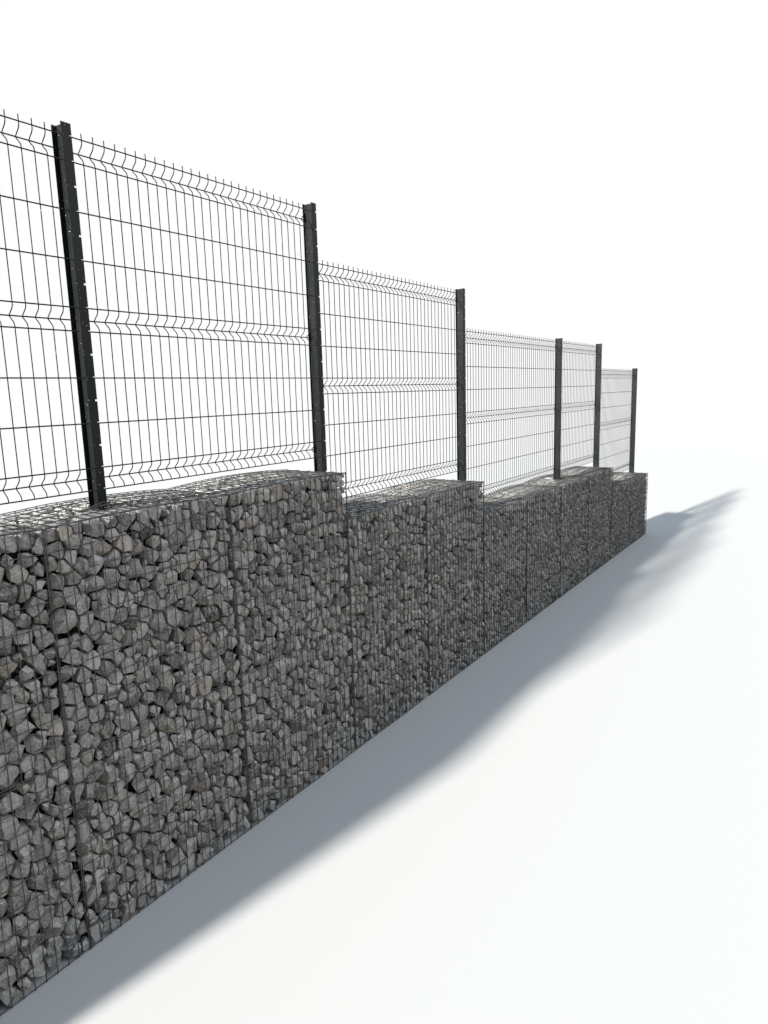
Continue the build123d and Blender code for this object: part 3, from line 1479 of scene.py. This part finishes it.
@dataclass(frozen=True)
class Viewpoint:
    """Where the wall is looked at from."""

    place: Point = (-5.4932, -2.8586, 2.3889)
    heading: float = math.radians(33.814)
    fall: float = math.radians(9.823)
    roll: float = math.radians(-1.635)
    lens: float = 24.445
    sensor: float = 36.0
    sight: float = 500.0

    def build(self) -> bpy.types.Object:
        """Makes the camera and looks through it.

        Returns:
            The camera.
        """
        flat = math.cos(self.fall)
        forward = Vector((flat * math.cos(self.heading), flat * math.sin(self.heading),
                          -math.sin(self.fall)))
        level = forward.cross(Vector((0, 0, 1))).normalized()
        rise = level.cross(forward)
        right = level * math.cos(self.roll) + rise * math.sin(self.roll)
        up = rise * math.cos(self.roll) - level * math.sin(self.roll)
        data = bpy.data.cameras.new("viewpoint")
        data.lens = self.lens
        data.sensor_width = self.sensor
        data.clip_end = self.sight
        camera = added("viewpoint", data)
        turned = Matrix((right, up, -forward)).transposed().to_4x4()
        camera.matrix_world = Matrix.Translation(self.place) @ turned
        bpy.context.scene.camera = camera
        return camera


@dataclass(frozen=True)
class Studio:
    """A pale floor, a low lamp along the wall, a soft one from the front, and a white surround."""

    floor_half: float = 200.0
    floor_level: float = -0.001
    floor_colour: Colour = (0.68, 0.68, 0.67)
    floor_light: Colour = (0.43, 0.40, 0.37)
    floor_roughness: float = 0.9
    floor_gloss: float = 0.1
    fade_from: float = 5.0
    fade_to: float = 22.0
    fade_shape: Point = (0.55, 1.0, 1.0)
    horizon: Colour = (0.184, 0.186, 0.190)
    zenith: Colour = (0.315, 0.405, 0.510)
    sky_range: Range = (-0.2, 1.0)
    key_colour: Colour = (1.0, 0.965, 0.90)
    key_strength: float = 8.0
    key_way: Point = (0.90, -0.14, -0.40)
    key_softness: float = math.radians(3)
    fill_colour: Colour = (0.98, 0.98, 1.0)
    fill_strength: float = 0.78
    fill_way: Point = (-0.45, 0.72, -0.53)
    fill_softness: float = math.radians(45)

    def build(self) -> None:
        """Makes the floor, the lamps and the surround, and sets the view."""
        self.floor()
        self.lamp("key_light", self.key_strength, self.key_softness, self.key_way, self.key_colour)
        self.lamp("fill_light", self.fill_strength, self.fill_softness, self.fill_way, self.fill_colour)
        self.surround()
        bpy.context.scene.view_settings.view_transform = "Standard"

    def floor(self) -> None:
        """Makes the floor, which fades to white away from the wall."""
        half = self.floor_half
        mesh = bpy.data.meshes.new("floor")
        corners = [(-half, -half, 0), (half, -half, 0), (half, half, 0), (-half, half, 0)]
        mesh.from_pydata(corners, [], [(0, 1, 2, 3)])
        floor = added("floor", mesh)
        floor.location.z = self.floor_level
        material = bpy.data.materials.new("pale_floor")
        nodes = Nodes.emptied(material)
        place = nodes.out("ShaderNodeTexCoord", output="Object") * self.fade_shape
        away = nodes.out("ShaderNodeVectorMath", {0: place}, {"operation": "LENGTH"}, "Value")
        far = nodes.step(away, self.fade_from, self.fade_to)
        seen = nodes.out("ShaderNodeLightPath", output="Is Camera Ray")
        colour = nodes.blend(seen, self.floor_light, self.floor_colour)
        matt = {"Base Color": colour, "Roughness": self.floor_roughness,
                "Specular IOR Level": self.floor_gloss}
        pale = nodes.out("ShaderNodeBsdfPrincipled", matt)
        white = nodes.out("ShaderNodeEmission", {"Color": (1, 1, 1, 1), "Strength": 1.0})
        mixed = nodes.out("ShaderNodeMixShader", {0: far * seen, 1: pale, 2: white})
        nodes.node("ShaderNodeOutputMaterial", {"Surface": mixed})
        mesh.materials.append(material)

    def lamp(self, name: str, strength: float, softness: float, way: Point, colour: Colour) -> None:
        """Makes a far soft lamp.

        Args:
            name: Its name.
            strength: Its strength.
            softness: The angle that it fills.
            way: The way its light goes.
            colour: Its colour.
        """
        data = bpy.data.lights.new(name, "SUN")
        data.energy = strength
        data.angle = softness
        data.color = colour
        lamp = added(name, data)
        lamp.rotation_mode = "QUATERNION"
        lamp.rotation_quaternion = Vector(way).to_track_quat("-Z", "Y")

    def surround(self) -> None:
        """Makes the surround: white to the eye and in gloss, softer as light."""
        world = bpy.data.worlds.new("surround")
        bpy.context.scene.world = world
        nodes = Nodes.emptied(world)
        path = nodes.node("ShaderNodeLightPath")
        kinds = ("Is Camera Ray", "Is Glossy Ray", "Is Transmission Ray")
        eye, gloss, clear = (Term(nodes, path.outputs[kind]) for kind in kinds)
        direct = nodes.sum("MINIMUM", eye + gloss + clear, 1.0)
        up = nodes.out("ShaderNodeTexCoord", output="Generated").parts()[2]
        sky = nodes.blend(nodes.step(up, *self.sky_range), self.horizon, self.zenith)
        light = nodes.out("ShaderNodeBackground", {"Color": sky, "Strength": 1.0})
        white = nodes.out("ShaderNodeBackground", {"Color": (1, 1, 1, 1), "Strength": 1.0})
        mixed = nodes.out("ShaderNodeMixShader", {0: direct, 1: light, 2: white})
        nodes.node("ShaderNodeOutputWorld", {"Surface": mixed})


def main() -> None:
    """Builds the camera, the stones, the baskets, the fence and the studio, in that order."""
    logging.basicConfig(level=logging.INFO, format="%(message)s")
    Viewpoint().build()
    wall = Wall(frame["nodes"])
    limestone, wire, coat = Limestone(), GalvanisedWire(), PowderCoat()
    wires = Wires()
    for seed, basket in enumerate(wall.baskets()):
        StoneFill(basket, limestone, seed + STONE_SEED).build()
        BasketWires(basket, wires, wire, seed + WIRE_SEED).build()
    for number in range(wall.count("post_")):
        dress_post(f"post_{number + 1}", coat)
    for number in range(wall.count("fence_panel_")):
        FencePanel(number + 1, wires, coat).build()
    Studio().build()


if __name__ == "__main__":
    main()
